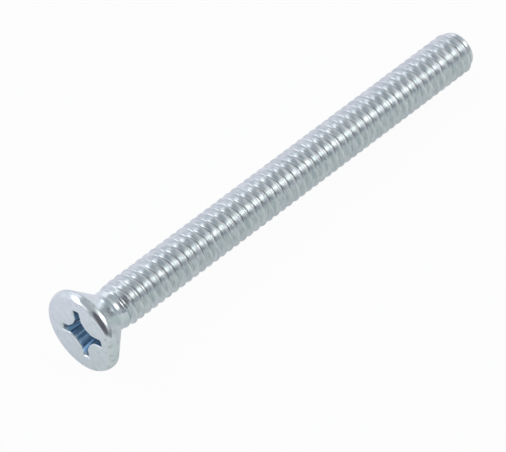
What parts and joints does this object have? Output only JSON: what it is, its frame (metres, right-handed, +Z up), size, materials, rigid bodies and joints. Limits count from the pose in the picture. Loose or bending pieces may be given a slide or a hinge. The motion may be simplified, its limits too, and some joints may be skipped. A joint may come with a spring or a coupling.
{
  "type": "countersunk machine screw",
  "caption": "Zinc plated steel machine screw with a flat countersunk head, a cross recess and a full length coarse thread, lying on its side.",
  "frame": {"origin": "centre of the bounding box's underside, on the surface that the screw lies on", "axes": "+X runs the length of the screw from the head towards the tip, +Y across it, +Z up; the screw's own axis dips 2.3 degrees below +X towards the tip"},
  "size_m": [0.0736, 0.0118, 0.0119],
  "materials": {
    "zinc_plate": "bright zinc plating on steel"
  },
  "bodies": {
    "root": {"screw": "zinc_plate"}
  },
  "joints": []
}
